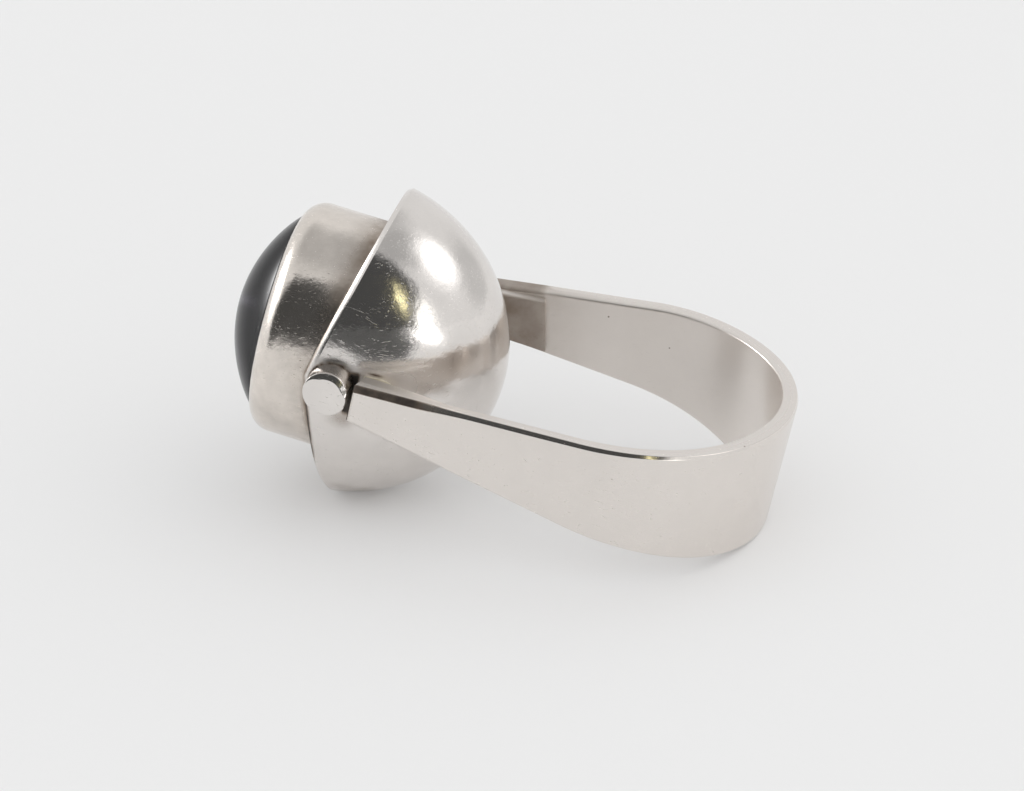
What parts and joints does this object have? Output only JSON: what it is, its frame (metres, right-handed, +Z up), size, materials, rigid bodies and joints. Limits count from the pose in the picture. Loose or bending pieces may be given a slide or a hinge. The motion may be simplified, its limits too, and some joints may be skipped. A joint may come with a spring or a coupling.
{
  "type": "star sapphire ring",
  "caption": "Silver ring with a hollow half-ball head that holds a domed black star sapphire in an oval bezel, soldered across a wide tapering band.",
  "frame": {"origin": "on the surface that the ring lies on, under the middle of its box", "axes": "+X from the stone toward the back of the band, +Y across the ring between the studs, +Z up; the finger runs along +Z, leaning 13.4 degrees toward +X"},
  "size_m": [0.0322, 0.0186, 0.0186],
  "materials": {
    "silver": "polished sterling silver with fine scratches, and dark tarnish in its seams",
    "stone": "polished, nearly black, with a faint six-rayed star under the top of the dome"
  },
  "bodies": {
    "root": {"silver": "silver", "stone": "stone"}
  },
  "joints": []
}
